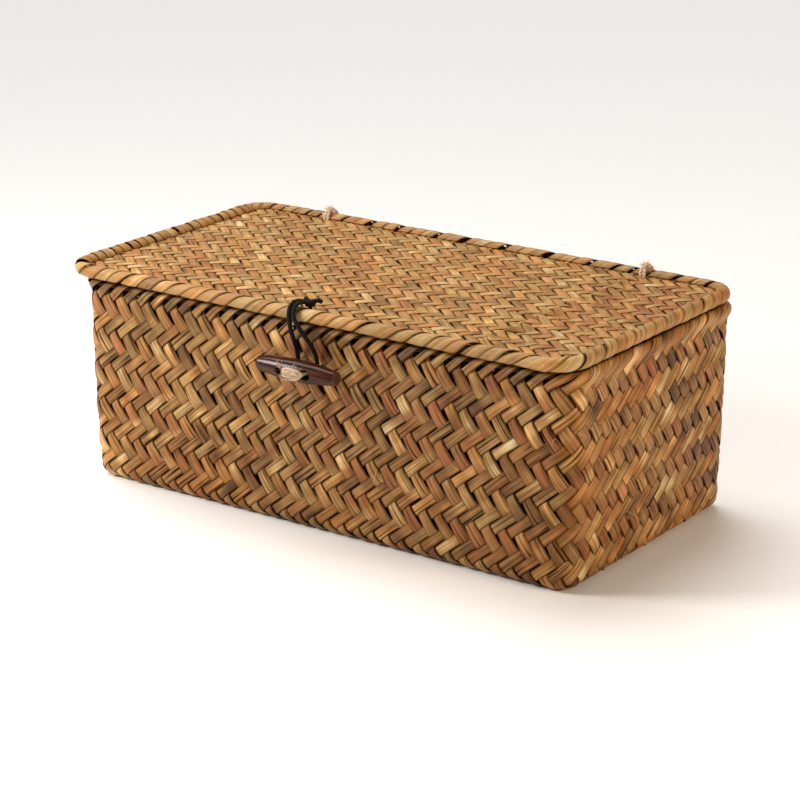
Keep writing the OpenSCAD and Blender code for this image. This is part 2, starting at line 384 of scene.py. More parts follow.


# Fibres run along each strand: fine and coarse streaks are noise stretched along the strand's UV.
# The strand's tone and the coarse streaks pick the colour; thin splits darken it, and so does painted shade
# in the hollows and along the strip edges.
def makeGrass(name):
    finish = grassFinishes[name]
    streak = finish["streak"]
    material, tree, shader = newMaterial(name)
    uv = addNode(tree, "ShaderNodeUVMap", uv_map="UVMap").outputs[0]
    place = addNode(tree, "ShaderNodeTexCoord").outputs["Object"]
    tone, rust, over, edge = (addNode(tree, "ShaderNodeAttribute", attribute_name=key).outputs["Fac"]
                              for key in ("tone", "rust", "over", "edge"))
    fine = stretchedNoise(tree, uv, (55, 3300, 1), 3.0, 0.6)
    coarse = stretchedNoise(tree, uv, (22, 900, 1), 2.0, 0.5)
    blotch = stretchedNoise(tree, place, (150, 150, 150), 3.0, 0.55)
    shade = tone
    for noise, strength in ((coarse, 1.15 * streak), (blotch, 0.50), (fine, 0.95 * streak)):
        shade = mathNode(tree, "MULTIPLY_ADD", mathNode(tree, "SUBTRACT", noise, 0.5), strength, shade)
    colour = colourRamp(tree, shade, [(0.0, finish["dark"]), (0.38, finish["mid"]), (0.70, finish["light"]),
                                      (1.0, finish["pale"])])
    # each strand leans to khaki or to orange
    lean = stretchedNoise(tree, uv, (14, 60, 1), 1.0, 0.5)
    leaning = colourRamp(tree, lean, [(0.38, grassLean["khaki"]), (0.62, grassLean["orange"])])
    colour = mixColour(tree, "MULTIPLY", 1.0, colour, leaning)
    # rust comes in patches and is mottled
    patchy = mathNode(tree, "MULTIPLY_ADD", coarse, 3.2, mathNode(tree, "MULTIPLY_ADD", blotch, 2.2, -1.95))
    stain = mathNode(tree, "MULTIPLY", rust, patchy)
    stain = addNode(tree, "ShaderNodeClamp", {0: stain, 2: 0.88}).outputs[0]
    mottle = mathNode(tree, "MULTIPLY_ADD", fine, 2.6, mathNode(tree, "MULTIPLY_ADD", coarse, 2.4, -2.0))
    mottle = addNode(tree, "ShaderNodeClamp", {0: mottle}).outputs[0]
    stained = mixColour(tree, "MIX", mottle, (*finish["deepRust"], 1), (*finish["rust"], 1))
    colour = mixColour(tree, "MIX", stain, colour, stained)
    # splits: narrow dark lines where the coarse streaks dip
    split = rangeNode(tree, coarse, 0.31 * streak, 0.38 * streak, 0.22, 1.0)
    # painted shade in the hollows, where a strand dips under its neighbours
    hollowShade = rangeNode(tree, over, 0.06, 0.56, finish["hollowShade"], 1.0)
    # painted shade along both edges of each strip, so that the gaps between strips read dark
    outline = mathNode(tree, "MULTIPLY_ADD", edge, -finish["outline"], 1.0)
    # real splits together with painted shade in the hollows and along the edges
    splitsAndShade = mathNode(tree, "MULTIPLY", mathNode(tree, "MULTIPLY", split, hollowShade), outline)
    grey = addNode(tree, "ShaderNodeCombineXYZ", {0: splitsAndShade, 1: splitsAndShade, 2: splitsAndShade}).outputs[0]
    colour = mixColour(tree, "MULTIPLY", 1.0, colour, grey)
    joinShader(tree, shader, colour, mathNode(tree, "MULTIPLY_ADD", coarse, 1.5, fine), 0.7, 0.22, {})
    rough = mathNode(tree, "MULTIPLY_ADD", fine, 0.25, 0.33)
    tree.links.new(rough, shader.inputs["Roughness"])
    # the sheen is cut by the same painted shade in the hollows and along the edges, and in the splits
    gloss = mathNode(tree, "MULTIPLY", mathNode(tree, "POWER", splitsAndShade, 2.0), 0.24)
    tree.links.new(gloss, shader.inputs["Specular IOR Level"])
    return material


plaitedGrass, lidGrass, edgeGrass = (makeGrass(name) for name in grassFinishes)
print("grass finishes ready")

# Cross-section of a strip, going round it: place across from -1 to 1 and rise in half thicknesses. The
# crown lifts its middle by a parabola, a little less underneath than on top.
stripAcross = np.array([-1.0, -0.91, -0.6, 0.0, 0.6, 0.91, 1.0, 0.90, 0.3, -0.3, -0.90])
stripRise = np.array([0.0, 0.85, 1.0, 1.0, 1.0, 0.85, 0.0, -0.9, -1.0, -1.0, -0.9])
# 1 along both edges of its top, where the strip gets painted shade
stripEdge = ease(np.abs(stripAcross), 0.82, 1.0) * (stripRise > -0.5)
stripCrown = (1 - stripAcross**2) * np.where(stripRise < 0, 0.8, 1.0)


# +1 while a falling strand passes over two others and -1 while it passes under the next two; a rising
# strand's height is the opposite
def overUnder(u, sharp):
    return np.tanh(sharp * np.sin(pi * (u + 0.5) / 2)) / np.tanh(sharp)


# Strands of one family of a two-over, two-under weave, on a flat sheet with x along it and w down it.
# A falling strand follows x = pitch (k + 1/2) + slope (w - phase), a rising one the same with -slope.
# u counts the other family's strands along it, so overUnder(u) is its height, taken at each point's own
# place so that a strand dips along the edge of its neighbour. Where slant is 1 the strands are flatter
# and lie on each other like shingles.
def layStrands(weave, family, ids, startW, endW, rows, seed, widen=None, slant=None):
    side = weave[family]
    rng = np.random.default_rng(seed)
    count, pitch, phase = len(ids), weave["pitch"], weave["phase"]
    way = 1 if family == "falling" else -1
    slope = way * side["slope"]
    other = weave["rising" if way == 1 else "falling"]["slope"]
    stretch = np.hypot(1, slope)
    w = startW[:, None] + (endW - startW)[:, None] * np.linspace(0, 1, rows)
    along = w * stretch
    wander = side["wander"] * ripple(rng, count, along, (61, 37, 23)) \
        + rng.normal(0, side["uneven"], (count, 1))
    x = pitch * (ids[:, None] + 0.5) + slope * (w - phase) + wander

    # how many strands of the other family lie between this strand's number and a point
    def crossing(px, pw):
        number = ids.reshape((-1,) + (1,) * (px.ndim - 1))
        return way * ((px + way * other * (pw - phase)) / pitch - 0.5 - number)

    atCentre = crossing(x, w)
    half = pitch / stretch / 2 * (side["width"] + rng.normal(0, side["widthVary"], (count, 1))
                                  + 0.04 * ripple(rng, count, along, (29, 17)))
    shingled = np.zeros_like(x) if slant is None else slant(x)
    # it is narrow where it comes out, every 4 strands, and wider where it is hidden
    neck = np.mod(atCentre + 0.35 + 2, 4) - 2
    half = half * (1 - side["pinch"] * (1 - shingled) * np.exp(-(neck / 0.55)**2))
    hidden = (1 - way * overUnder(atCentre, 1.5)) / 2
    half = half * (1 + side["spread"] * hidden)
    if widen is not None:
        half = half * widen(x, w)
    c = stripAcross[None, None, :]
    px = x[..., None] + c * half[..., None] / stretch
    pw = w[..., None] - c * half[..., None] * slope / stretch
    level = way * overUnder(crossing(px, pw), side["sharp"])
    up = (level + 1) / 2
    crown = side["crown"] * (1 - 0.7 * shingled) * (1 + 0.25 * ripple(rng, count, along, (33, 19)))
    crown = crown[..., None] * (0.3 + 0.7 * up)
    tilt = side["tilt"] + side["shingle"] * shingled \
        + rng.normal(0, side["tiltVary"], (count, 1)) * ripple(rng, count, along, (41, 13))
    height = side["lift"] * level + tilt[..., None] * c + crown * stripCrown + side["thick"] / 2 * stripRise
    tone = side["tone"] + side["slantTone"] * shingled + rng.normal(0, side["toneVary"], (count, 1)) \
        + 0.16 * ripple(rng, count, along, (57, 31)) + 0.10 * ripple(rng, count, along, (21, 12))
    stained = rng.random((count, 1)) < side["rustShare"]
    rust = side["rust"] * stained * ease(ripple(rng, count, along, (47, 29)), -0.30, 0.15)
    uv = np.stack(np.broadcast_arrays(
        (along + rng.uniform(0, 4000, (count, 1)))[..., None] * mm,
        (c * half[..., None] + rng.uniform(0, 900, (count, 1))[..., None]) * mm), -1)
    # the side of a strip that shows lies over the others, so its underside has the opposite mark
    # over is 1 on top and 0 where the strand dips under; it sets the painted shade in the hollows
    marks = {"tone": tone[..., None], "rust": rust[..., None] + 0 * c, "edge": stripEdge,
             "over": np.where(stripRise < 0, 1 - up, up)}
    return {"x": px, "w": pw, "h": height, "uv": uv, "marks": marks}


# walls and base

shellLow, shellHigh = (np.array(corner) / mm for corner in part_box("woven_shell"))
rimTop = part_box("rim_binding")[1][2] / mm
halfSheet = 1.3  # from a wall's middle surface to its outside

wall = {
    "halfLength": shellHigh[0] - halfSheet, "halfDepth": shellHigh[1] - halfSheet, "corner": 10.2,
    "rimZ": rimTop - 2.6, "baseZ": halfSheet, "edgeRadius": 4.7, "tuck": 3.5,
    "lean": 1.5, "bulge": 0.5, "ripple": 0.45, "ripples": 5,
    "strands": 97, "rollRadius": 2.15, "foldDown": 8.0, "foldEnds": 5.6, "startBelow": 1.4, "rowStep": 0.75,
    # width of the folded tabs at each end of the front, right, back and left sides
    "tabs": (0.73, 0.73, 1.22, 1.22, 0.90, 0.82, 0.82, 0.82, 0.73),
}
# Each family of strands, in mm and as shares of the pitch: how far it leans and how wide it is, its
# narrow necks, how it is laid over the others, the section of a strand, and its tone and rust
wallWeave = {
    "phase": 7.2,
    "falling": {
        "slope": 0.70, "width": 0.965, "widthVary": 0.04, "pinch": 0.15, "spread": 0.14,
        "wander": 0.30, "uneven": 0.30, "lift": 0.42, "sharp": 1.9, "shingle": 0.05,
        "crown": 0.50, "tilt": 0.02, "tiltVary": 0.16, "thick": 0.34,
        "tone": 0.50, "toneVary": 0.11, "slantTone": -0.13, "rustShare": 0.30, "rust": 1.0,
    },
    "rising": {
        "slope": 1.22, "width": 0.925, "widthVary": 0.02, "pinch": 0.0, "spread": 0.16,
        "wander": 0.16, "uneven": 0.12, "lift": 0.36, "sharp": 4.0, "shingle": 0.42,
        "crown": 0.07, "tilt": 0.13, "tiltVary": 0.08, "thick": 0.34,
        "tone": 0.43, "toneVary": 0.09, "slantTone": 0.12, "rustShare": 0.12, "rust": 0.6,
    },
}


# Rounded rectangle as corner centres and outward angles at places along its edge, going round from the
# left end of the front seen from outside. Between these places both change evenly.
def planPath(halfLength, halfDepth, corner):
    a, b, arc = halfLength - corner, halfDepth - corner, pi / 2 * corner
    places = np.cumsum([0, 2 * a, arc, 2 * b, arc, 2 * a, arc, 2 * b, arc])
    centres = np.array([(-a, -b), (a, -b), (a, -b), (a, b), (a, b), (-a, b), (-a, b), (-a, -b), (-a, -b)])
    angles = np.radians([-90, -90, 0, 0, 90, 90, 180, 180, 270])
    return {"places": places, "centres": centres, "angles": angles, "length": places[-1]}


def planAt(plan, x):
    x = np.mod(x, plan["length"])
    angle = np.interp(x, plan["places"], plan["angles"])
    centre = [np.interp(x, plan["places"], plan["centres"][:, i]) for i in (0, 1)]
    return centre, angle


wallPlan = planPath(wall["halfLength"], wall["halfDepth"], wall["corner"])
wallWeave["pitch"] = wallPlan["length"] / wall["strands"]
wall["straight"] = wall["rimZ"] - wall["baseZ"] - wall["edgeRadius"]
wall["down"] = wall["straight"] + wall["edgeRadius"] * pi / 2 + wall["tuck"]


# Point of the wall at x round it, w below the middle of the rim and h out from the wall's middle surface.
# Below the straight wall the sheet turns through a quarter circle under the base. Above w = 0 it rolls
# over the rim in a half circle of radius h, then runs down inside.
def wallPoint(x, w, h):
    centre, angle = planAt(wallPlan, x)
    down = np.clip(w / wall["straight"], 0, 1)
    turn = np.clip((w - wall["straight"]) / wall["edgeRadius"], 0, pi / 2)
    under = np.maximum(w - wall["straight"] - wall["edgeRadius"] * pi / 2, 0)
    roll = np.clip(-w / wall["rollRadius"], 0, pi)
    inside = np.maximum(-w - wall["rollRadius"] * pi, 0)
    around = 2 * pi * x / wallPlan["length"]
    wave = wall["ripple"] * np.sin(wall["ripples"] * around + 0.8) * np.sin(pi * down)
    radius = wall["corner"] - wall["lean"] * down + wall["bulge"] * np.sin(pi * down) + wave
    radius = radius - wall["edgeRadius"] * (1 - np.cos(turn)) - under + h * np.cos(turn) * np.cos(roll)
    radius = np.maximum(radius, 0.3)
    z = wall["rimZ"] - np.clip(w, 0, wall["straight"]) - wall["edgeRadius"] * np.sin(turn)
    z = z - h * np.sin(turn) + h * np.sin(roll) - inside
    return np.stack([centre[0] + radius * np.cos(angle), centre[1] + radius * np.sin(angle), z], -1)


# Where they fold over the rim the rising strands are narrow tabs with gaps between them, but on the right
# side they are wide and overlap
def tabWidth(x, w):
    wide = np.interp(np.mod(x, wallPlan["length"]), wallPlan["places"], wall["tabs"])
    return 1 + (wide - 1) * (1 - ease(w, 4.5, 7.5))


# The right side is plaited flatter, with its strands like shingles
def wallSlant(x):
    return np.interp(np.mod(x, wallPlan["length"]), wallPlan["places"], (0, 0, 1, 1, 0, 0, 0, 0, 0))


def makeWalls():
    ids = np.arange(wall["strands"])
    end = np.full(len(ids), wall["down"])
    # falling strands end under the fold of the rising ones
    start = np.full(len(ids), wall["startBelow"])
    rows = int(wall["down"] / wall["rowStep"])
    laid = layStrands(wallWeave, "falling", ids, start, end, rows, 11, None, wallSlant)
    tuck = 0.5 * (1 - ease(laid["w"], 1.5, 4.5))
    points = wallPoint(laid["x"], laid["w"], laid["h"] - tuck)
    pieces = makePieces("wallStrandsFalling", points, plaitedGrass, laid["uv"],
                         laid["marks"])
    # rising strands go on over the rim and down inside
    roll = pi * wall["rollRadius"]
    start = np.full(len(ids), -roll - wall["foldDown"])
    rows = int((wall["down"] + roll + wall["foldDown"]) / wall["rowStep"])
    laid = layStrands(wallWeave, "rising", ids, start, end, rows, 12, tabWidth, wallSlant)
    side = wallWeave["rising"]
    c = stripAcross[None, None, :]
    flat = side["crown"] * stripCrown + side["thick"] / 2 * stripRise + 0.10 * c
    folded = wall["rollRadius"] - 0.75 * ease(-laid["w"], roll, roll + 4) + flat
    height = laid["h"] + (folded - laid["h"]) * (1 - ease(laid["w"], 0.2, wall["foldEnds"]))
    # the folded tabs get no painted shade on top and painted shade underneath, near the fold
    over = laid["marks"]["over"]
    shown = np.maximum(over, 1 - ease(laid["w"], 1.0, wall["foldEnds"]))
    laid["marks"]["over"] = np.where(stripRise < 0, over * ease(laid["w"], 0, wall["foldEnds"]), shown)
    points = wallPoint(laid["x"], laid["w"], height)
    pieces += makePieces("wallStrandsRising", points, plaitedGrass, laid["uv"],
                         laid["marks"])
    rideAll(pieces, "basket", "woven_shell", "rim_binding")


makeWalls()
print("walls plaited")


# Where each strand of a flat sheet enters and leaves a rounded rectangle centred on the sheet
def clipToPlan(x0, slope, halfLength, halfDepth, corner):
    w = np.linspace(0, 2 * halfDepth, 800)
    x = x0[:, None] + slope * w
    past = np.hypot(np.maximum(np.abs(x) - (halfLength - corner), 0),
                    np.maximum(np.abs(w - halfDepth) - (halfDepth - corner), 0))
    inside = past <= corner
    keep = inside.sum(1) > 12
    first = w[inside.argmax(1)]
    last = w[len(w) - 1 - inside[:, ::-1].argmax(1)]
    return keep, first, last


# Both families of a flat woven sheet inside a rounded rectangle; sheetPoint places (x, w, h) in space
def makeFlatWeave(name, sheet, weave, sheetPoint, material, seed, stainAt=None):
    made = []
    for number, family in enumerate(("falling", "rising")):
        way = 1 if family == "falling" else -1
        slope = way * weave[family]["slope"]
        reach = sheet["halfLength"] + 2 * sheet["halfDepth"] * abs(slope) + 20
        ids = np.arange(-int(reach / weave["pitch"]), int(reach / weave["pitch"]))
        x0 = weave["pitch"] * (ids + 0.5) - slope * weave["phase"]
        keep, first, last = clipToPlan(x0, slope, sheet["halfLength"], sheet["halfDepth"], sheet["corner"])
        rows = int(2 * sheet["halfDepth"] / sheet["rowStep"])
        laid = layStrands(weave, family, ids[keep], first[keep], last[keep], rows, seed + number)
        points = sheetPoint(laid["x"], laid["w"], laid["h"])
        if stainAt is not None:
            laid["marks"]["rust"] = laid["marks"]["rust"] + stainAt(laid["x"], laid["w"])
        made += makePieces(name + family.capitalize(), points, material, laid["uv"], laid["marks"])
    return made


baseInset = 4.2
base = {"halfLength": wall["halfLength"] - baseInset, "halfDepth": wall["halfDepth"] - baseInset,
        "corner": 6.0, "rowStep": 1.1, "overlap": 1.6}
baseWeave = dict(wallWeave, pitch=7.8)


# Point of the base: level in the middle, and lifted by the overlap where it lies on the walls' ends
def basePoint(x, w, h):
    inset = np.minimum(base["halfLength"] - np.abs(x), base["halfDepth"] - np.abs(w - base["halfDepth"]))
    z = wall["baseZ"] + base["overlap"] * (1 - ease(inset, 5, 9)) + h
    return np.stack([x, base["halfDepth"] - w, z], -1)


rideAll(makeFlatWeave("baseStrands", base, baseWeave, basePoint, plaitedGrass, 21),
        "basket", "woven_shell")
print("base plaited")


# lid

panelLow, panelHigh = (np.array(corner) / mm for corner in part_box("lid_panel"))
edgeLow, edgeHigh = (np.array(corner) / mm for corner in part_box("lid_binding"))
lidCentre = (edgeLow + edgeHigh) / 2

lid = {
    "halfLength": (panelHigh[0] - panelLow[0]) / 2 - 0.8,
    "halfDepth": (panelHigh[1] - panelLow[1]) / 2 - 0.8,
    "corner": 10.5, "rowStep": 0.8, "ridgeX": 84.0, "ridgeHeight": 1.0, "endStain": 0.85,
}
lidWeave = {
    "pitch": 6.8, "phase": 3.0,
    "falling": {
        "slope": 1.12, "width": 0.99, "widthVary": 0.03, "pinch": 0.20, "spread": 0.12,
        "wander": 0.25, "uneven": 0.20, "lift": 0.30, "sharp": 2.6, "shingle": 0.0,
        "crown": 0.16, "tilt": -0.03, "tiltVary": 0.09, "thick": 0.30,
        "tone": 0.50, "toneVary": 0.09, "slantTone": 0.0, "rustShare": 0.14, "rust": 0.70,
    },
    "rising": {
        "slope": 0.95, "width": 0.97, "widthVary": 0.015, "pinch": 0.06, "spread": 0.12,
        "wander": 0.12, "uneven": 0.10, "lift": 0.27, "sharp": 4.5, "shingle": 0.0,
        "crown": 0.03, "tilt": 0.03, "tiltVary": 0.05, "thick": 0.30,
        "tone": 0.50, "toneVary": 0.07, "slantTone": 0.0, "rustShare": 0.08, "rust": 0.55,
    },
}


# Point of the lid's panel: gently uneven, with a low ridge across it near the right-hand end
def lidPoint(x, w, h):
    y = lid["halfDepth"] - w
    swell = 0.35 * np.sin(x / 31 + 0.6) * np.sin(y / 23 + 1.1)
    ridge = lid["ridgeHeight"] * np.exp(-((x - lid["ridgeX"] - 0.02 * y) / 1.6)**2)
    bumps = np.sin(x / 2.9 + y / 5.1) * np.sin(y / 3.7 - x / 6.3)
    rough = 0.35 * ease(x, lid["ridgeX"], lid["ridgeX"] + 6) * bumps
    edge = ease(np.minimum(lid["halfLength"] - np.abs(x), lid["halfDepth"] - np.abs(y)), 2, 12)
    z = lidCentre[2] + (swell + ridge + rough) * edge + h
    return np.stack([x + lidCentre[0], y + lidCentre[1], z], -1)


# More rust on the rough end of the lid, in patches
def lidStain(x, w):
    patches = np.sin(x / 4.3 + 2 * np.sin(w / 7.9)) * np.sin(w / 5.7 + 1.5 * np.sin(x / 6.1))
    return lid["endStain"] * ease(x, lid["ridgeX"] - 4, lid["ridgeX"] + 8) * ease(patches, -0.1, 0.5)


rideAll(makeFlatWeave("lidStrands", lid, lidWeave, lidPoint, lidGrass, 31, lidStain),
        "lid", "lid_panel")
print("lid plaited")

border = {
    "corner": 12.0, "inset": 3.5, "radius": 2.75, "turnFrom": -166, "turnTo": 166, "rows": 26,
    "thick": 0.32, "crown": 0.10, "shingle": 0.15,
    "tone": 0.53, "toneVary": 0.08, "rustShare": 0.18, "rust": 0.4,
    # front, right, back and left sides: spacing of the wraps, lead over half a turn, width, and how much
    # further the section reaches inwards than a circle
    "spacing": (8.4, 7.8, 7.4, 5.4), "lead": (11.0, 7.0, 9.0, 1.5), "width": (1.14, 1.14, 0.94, 1.10),
    "inward": (1.0, 1.1, 1.0, 1.7),
}
borderPlan = planPath((edgeHigh[0] - edgeLow[0]) / 2 - border["inset"],
                      (edgeHigh[1] - edgeLow[1]) / 2 - border["inset"], border["corner"])


# Value that each side has, changing evenly round the corners
def alongBorder(x, values):
    front, right, back, left = values
    return np.interp(np.mod(x, borderPlan["length"]), borderPlan["places"],
                     (front, front, right, right, back, back, left, left, front))


# Strips wound round the lid's edge: the angle goes round the tube from the inside of the lid over the
# outside, x moves on by the lead, and one edge of each strip lies over the next
def makeBorder():
    rng = np.random.default_rng(41)
    fineX = np.linspace(0, borderPlan["length"], 4000)
    passed = np.concatenate([[0], np.cumsum(np.diff(fineX) / alongBorder(fineX[1:], border["spacing"]))])
    count = int(passed[-1])
    wraps = np.arange(count) + rng.uniform(-0.16, 0.16, count)
    start = np.interp(wraps * passed[-1] / count, passed, fineX)
    turn = np.radians(np.linspace(border["turnFrom"], border["turnTo"], border["rows"]))[None, :, None]
    c = stripAcross[None, None, :]
    half = alongBorder(start, np.array(border["spacing"]) * np.array(border["width"])) / 2
    half = (half * rng.normal(1, 0.07, count))[:, None, None] * (1 - 0.10 * np.sin(turn)**2)
    lead = (alongBorder(start, border["lead"]) * rng.normal(1, 0.10, count))[:, None, None]
    x = start[:, None, None] + c * half + lead * turn / pi
    tilt = border["shingle"] * rng.normal(1, 0.3, count)[:, None, None]
    out = border["radius"] + tilt * c + border["crown"] * stripCrown + border["thick"] / 2 * stripRise \
        + rng.normal(0, 0.07, count)[:, None, None]
    centre, angle = planAt(borderPlan, x)
    reach = np.where(np.cos(turn) < 0, alongBorder(x, border["inward"]), 1.0)
    radius = border["corner"] + out * np.cos(turn) * reach
    points = np.stack([centre[0] + radius * np.cos(angle) + lidCentre[0],
                       centre[1] + radius * np.sin(angle) + lidCentre[1],
                       lidCentre[2] + out * np.sin(turn)], -1)
    along = border["radius"] * turn
    uv = np.stack(np.broadcast_arrays(
        (along + rng.uniform(0, 4000, count)[:, None, None]) * mm,
        (c * half * 0.8 + rng.uniform(0, 900, count)[:, None, None]) * mm), -1)
    tone = border["tone"] + rng.normal(0, border["toneVary"], count)[:, None, None]
    rust = border["rust"] * (rng.random(count) < border["rustShare"])[:, None, None]
    marks = {"tone": tone, "rust": rust, "over": np.ones(1), "edge": stripEdge}
    pieces = makePieces("lidBorderWraps", points, edgeGrass, uv, marks)
    rideAll(pieces, "lid", "lid_binding")


makeBorder()
print("lid border wrapped")


# toggle

toggleLow, toggleHigh = (np.array(corner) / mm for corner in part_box("toggle"))
toggleMiddle = (toggleLow + toggleHigh) / 2

toggle = {
    "half": (toggleHigh[0] - toggleLow[0]) / 2, "middleRadius": (toggleHigh[1] - toggleLow[1]) / 2,
    "leftRadius": 3.2, "rightRadius": 2.8, "rimRound": 0.32, "sides": 48, "rows": 70,
    "holeAt": 6.5, "holeRadius": 2.0, "holeFlare": 0.6,
    "dark": (0.006, 0.002, 0.001), "brown": (0.070, 0.018, 0.007), "end": (0.07, 0.035, 0.02),
}


# Polished dark wood: streaks along the toggle, paler at its two cut ends, under a clear lacquer
def makeToggleFinish():
    material, tree, shader = newMaterial("lacqueredToggle")
    place = addNode(tree, "ShaderNodeTexCoord").outputs["Object"]
    streaks = stretchedNoise(tree, place, (30, 900, 900), 3.0, 0.6)
    colour = colourRamp(tree, streaks, [(0.35, toggle["dark"]), (0.62, toggle["brown"])])
    x = addNode(tree, "ShaderNodeSeparateXYZ", {0: place}).outputs[0]
    outward = mathNode(tree, "ABSOLUTE", mathNode(tree, "SUBTRACT", x, toggleMiddle[0] * mm))
    limit = toggle["half"] * mm
    cutEnd = rangeNode(tree, outward, limit - 0.9 * mm, limit - 0.2 * mm)
    colour = mixColour(tree, "MIX", cutEnd, colour, (*toggle["end"], 1))
    joinShader(tree, shader, colour, streaks, 0.18, 0.2, {
        "Roughness": 0.28, "Specular IOR Level": 0.10, "Coat Weight": 0.18, "Coat Roughness": 0.05})
    return material


# Barrel: radius falls off with the square of the distance from the middle to each cut end, whose rim is
# rounded over. Two flared holes are cut through it from front to back.
def makeToggle():
    t = np.linspace(-1, 1, toggle["rows"])
    endRadius = np.where(t < 0, toggle["leftRadius"], toggle["rightRadius"])
    radius = endRadius + (toggle["middleRadius"] - endRadius) * (1 - t**2)
    radius = radius - toggle["rimRound"] * ease(np.abs(t), 0.985, 1.0)
    path = np.stack([toggleMiddle[0] + t * toggle["half"], np.full_like(t, toggleMiddle[1]),
                     np.full_like(t, toggleMiddle[2])], -1)
    points = tubePoints(path, radius, toggle["sides"], (0, 0, 1))
    barrel, = makePieces("toggleBarrel", points[None], makeToggleFinish())
    for sign in (-1, 1):
        y = np.linspace(-7, 7, 29)
        path = np.stack([np.full_like(y, toggleMiddle[0] + sign * toggle["holeAt"]), toggleMiddle[1] + y,
                         np.full_like(y, toggleMiddle[2])], -1)
        radius = toggle["holeRadius"] + toggle["holeFlare"] * ease(np.abs(y), 3.0, 4.8)
        cutter, = makePieces("toggleCutter", tubePoints(path, radius, 32, (1, 0, 0))[None],
                             barrel.data.materials[0])
        cut = barrel.modifiers.new("hole", "BOOLEAN")
        cut.object = cutter
        cut.operation = "DIFFERENCE"
        cut.solver = "EXACT"
        bpy.context.view_layer.update()
        graph = bpy.context.evaluated_depsgraph_get()
        drilled = bpy.data.meshes.new_from_object(barrel.evaluated_get(graph))
        barrel.modifiers.remove(cut)
        barrel.data = drilled
        bpy.data.objects.remove(cutter)
    barrel.data.polygons.foreach_set("use_smooth", np.ones(len(barrel.data.polygons), bool))
    barrel.data.set_sharp_from_angle(angle=np.radians(40))
    rideAll([barrel], "toggle", "toggle")


makeToggle()
print("toggle turned")


# twine

twine = {
    "shade": (0.46, 0.30, 0.17), "colour": (0.74, 0.56, 0.40), "tip": (0.86, 0.74, 0.60),
    # radius, plies and length of one twist, for each part of the toggle's twine
    "pad": (0.42, 3, 2.6), "neck": (0.62, 2, 3.2), "knot": (0.8, 2, 3.2),
    "padStrands": 8, "fuzzFibres": 520, "tuftFibres": 46,
}


# Loose natural fibre: fine streaks along each ply, from its own UV
def makeTwineFinish():
    material, tree, shader = newMaterial("naturalTwine")
    uv = addNode(tree, "ShaderNodeUVMap", uv_map="UVMap").outputs[0]
    fine = stretchedNoise(tree, uv, (300, 6000, 1), 3.0, 0.6)
    colour = colourRamp(tree, fine, [(0.30, twine["shade"]), (0.52, twine["colour"]), (0.75, twine["tip"])])
    joinShader(tree, shader, colour, fine, 0.7, 0.1, {"Roughness": 0.85, "Sheen Weight": 0.25})
    return material


naturalTwine = makeTwineFinish()


# Plies twisted round a path: each ply's middle goes round it once in every lay length
def twistPlies(path, radius, plies, layLength, hint):
    across, up = pathFrame(path, hint)
    turn = 2 * pi * (pathLength(path) / layLength + np.arange(plies)[:, None] / plies)
    offset = radius * 0.52
    return path + offset * (np.cos(turn)[..., None] * across + np.sin(turn)[..., None] * up)


def makeTwine(name, paths, radius, plies, layLength, hint, sides=7):
    middles = np.concatenate([twistPlies(path, radius, plies, layLength, hint) for path in paths])
    points = tubePoints(middles, radius * 0.56, sides, hint)
    uv = tubeUv(middles, radius * 0.56, sides) + np.arange(len(middles))[:, None, None, None] * 0.37
    return makePieces(name, points, naturalTwine, uv)


# Loose fibres: each leaves its root along a random direction near the given one and bends over
def makeFibres(name, roots, direction, spread, lengths, radius, material, seed, droop, marks=None):
    rng = np.random.default_rng(seed)
    count = len(roots)
    ahead = unit(np.asarray(direction, float) + rng.normal(0, spread, (count, 3)))
    curl = unit(rng.normal(0, 1, (count, 3))) * 0.55 + np.array([0, 0, -droop])
    t = np.linspace(0, 1, 7)[None, :, None]
    size = rng.uniform(*lengths, count)[:, None, None]
    path = roots[:, None] + size * (ahead[:, None] * t + curl[:, None] * t**2 * 0.8)
    thin = radius * (1 - 0.8 * t[..., 0]) * np.ones((count, 1))
    points = tubePoints(path, thin, 3, (0.31, 0.83, 0.47))
    uv = tubeUv(path, radius, 3) + rng.uniform(0, 9, (count, 1, 1, 1))
    return makePieces(name, points, material, uv, marks)


